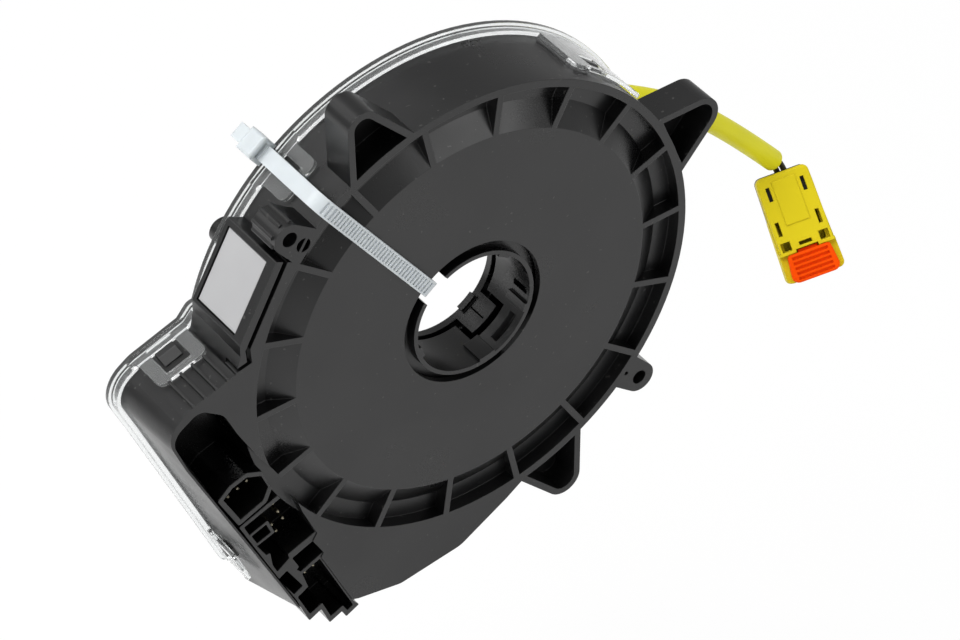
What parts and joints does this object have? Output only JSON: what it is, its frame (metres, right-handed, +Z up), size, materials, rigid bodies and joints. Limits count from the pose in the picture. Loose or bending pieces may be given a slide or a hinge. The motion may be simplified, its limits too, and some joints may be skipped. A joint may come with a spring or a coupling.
{
  "type": "steering clock spring",
  "caption": "Steering clock spring: black round case with a clear cover, a side connector block, a rotor with a bore, an airbag lead and a shipping tie.",
  "frame": {"origin": "centre of the bore and of the screw circle, on the flat column-side face of the round plate", "axes": "+Y along the steering axis towards the steering wheel, +Z up as the part is stored, +X to the right seen from the column; the column-side face looks along -Y"},
  "size_m": [0.1874, 0.0374, 0.1337],
  "materials": {
    "case_black": "fine satin",
    "clear_plastic": "clear, polished",
    "label_blank": "blank light film",
    "socket_black": "satin",
    "pin_metal": "plated",
    "ribbon_film": "smooth film",
    "slip_film": "smooth film",
    "rotor_black": "satin",
    "lead_yellow": "soft sleeve",
    "wire_black": "smooth",
    "plug_yellow": "satin",
    "plug_dark": "satin",
    "lock_orange": "satin",
    "tie_nylon": "milky nylon"
  },
  "bodies": {
    "case": {"rear_case": "case_black", "clear_cover": "clear_plastic", "side_label": "label_blank", "connector_block": "socket_black", "pins_tower": "pin_metal", "pins_wide": "pin_metal", "pins_end": "pin_metal", "flat_cable": "ribbon_film", "outer_terminal": "case_black", "slip_sheets": "slip_film", "shipping_tie": "tie_nylon"},
    "rotor": {"lock_ring": "rotor_black", "rotor": "rotor_black", "lead_housing": "rotor_black", "drive_bosses": "rotor_black", "wheel_connector": "socket_black", "wheel_pins": "pin_metal", "airbag_lead": "lead_yellow", "lead_wire_a": "wire_black", "lead_wire_b": "wire_black", "plug_body": "plug_yellow", "plug_cover": "plug_dark", "plug_terminals": "pin_metal"},
    "lock": {"plug_lock": "lock_orange"}
  },
  "joints": [
    {"name": "rotor_turn", "type": "hinge", "parent": "case", "child": "rotor", "pos_m": [0, 0, 0], "axis": [0, 1, 0], "range_deg": [-900, 900], "deforming": ["shipping_tie", "flat_cable"]},
    {"name": "lock_slide", "type": "slide", "parent": "rotor", "child": "lock", "axis": [-0.0762, -0.6954, -0.7146], "range_m": [0, 0.0025]}
  ]
}
